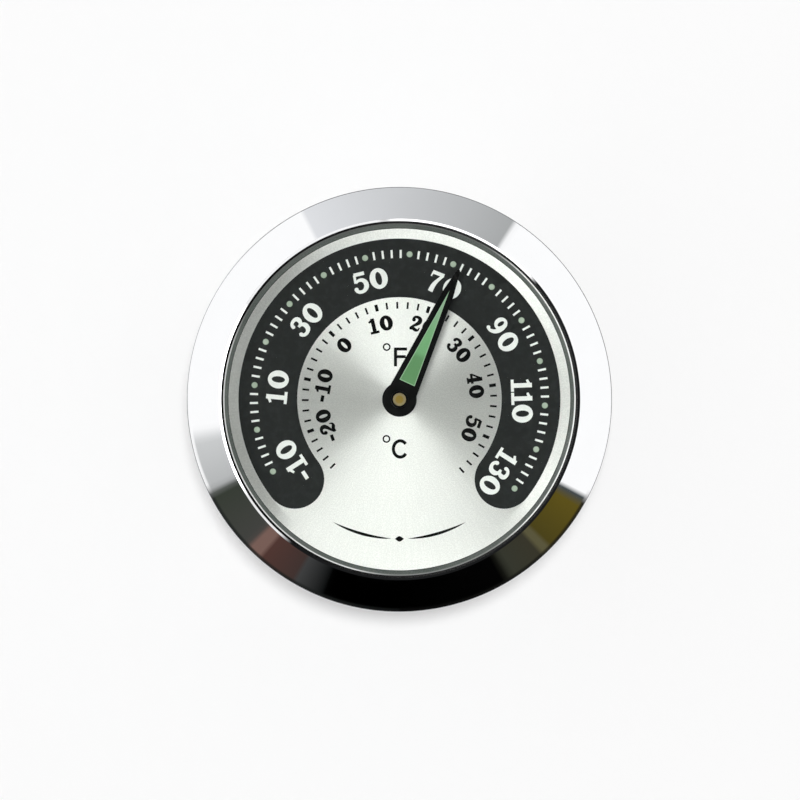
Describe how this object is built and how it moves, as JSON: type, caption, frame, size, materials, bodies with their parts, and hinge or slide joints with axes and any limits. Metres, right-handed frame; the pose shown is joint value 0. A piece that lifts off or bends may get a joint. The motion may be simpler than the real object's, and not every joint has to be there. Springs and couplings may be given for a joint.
{
  "type": "handlebar thermometer",
  "caption": "Round bimetal dial thermometer in a bright sloped bezel, swivelling on a two-piece handlebar clamp.",
  "frame": {"origin": "centre of the handlebar seat, on the axis of the bar and under the middle of the dial", "axes": "+X along the handlebar, +Y towards the top of the dial, +Z out of the dial towards the rider"},
  "size_m": [0.05, 0.05, 0.0518],
  "materials": {
    "clamp_chrome": "bright polished plating",
    "housing_chrome": "bright polished plating",
    "bezel_chrome": "mirror polished plating",
    "screw_steel": "plain turned steel",
    "liner_rubber": "matt",
    "gasket_rubber": "matt",
    "washer_nylon": "matt",
    "lens_glass": "polished, flat",
    "ring_silver": "satin turned",
    "dial_silver": "fine sunburst brushing",
    "print_black": "matt ink",
    "print_white": "matt ink",
    "lume_paint": "matt luminous paint",
    "pointer_black": "satin lacquer",
    "movement_brass": "turned",
    "bimetal_strip": "rolled strip"
  },
  "bodies": {
    "clamp": {"clamp_saddle": "clamp_chrome", "saddle_liner": "liner_rubber", "swivel_washer": "washer_nylon"},
    "cap": {"clamp_cap": "clamp_chrome", "cap_liner": "liner_rubber", "clamp_screws": "screw_steel"},
    "pod": {"housing": "housing_chrome", "swivel_screw": "screw_steel", "bezel": "bezel_chrome", "bezel_gasket": "gasket_rubber", "lens": "lens_glass", "lens_gasket": "gasket_rubber", "dial_ring": "ring_silver", "dial_plate": "dial_silver", "scale_band": "print_black", "fahrenheit_strokes": "print_white", "lume_dots": "lume_paint", "celsius_strokes": "print_black", "movement_plate": "movement_brass", "movement_screws": "screw_steel", "front_bush": "movement_brass", "bridge_pillars": "movement_brass", "rear_bridge": "movement_brass", "bridge_screws": "screw_steel", "rear_bush": "movement_brass", "bimetal_coil": "bimetal_strip", "coil_anchor": "movement_brass"},
    "pointer": {"spindle": "movement_brass", "coil_collet": "movement_brass", "pointer_collet": "pointer_black", "pointer_blade": "pointer_black", "pointer_lume": "lume_paint"}
  },
  "joints": [
    {"name": "pod_swivel", "type": "hinge", "parent": "clamp", "child": "pod", "pos_m": [0, 0, 0.018], "axis": [0, 0, 1], "continuous": true},
    {"name": "pointer_sweep", "type": "hinge", "parent": "pod", "child": "pointer", "pos_m": [0, 0, 0.0304], "axis": [0, 0, 1], "range_deg": [-103, 144.3], "stiffness_Nm_per_rad": 0.00002, "deforming": ["bimetal_coil"]},
    {"name": "cap_drop", "type": "slide", "parent": "clamp", "child": "cap", "axis": [0, 0, -1], "range_m": [0, 0.025]}
  ]
}
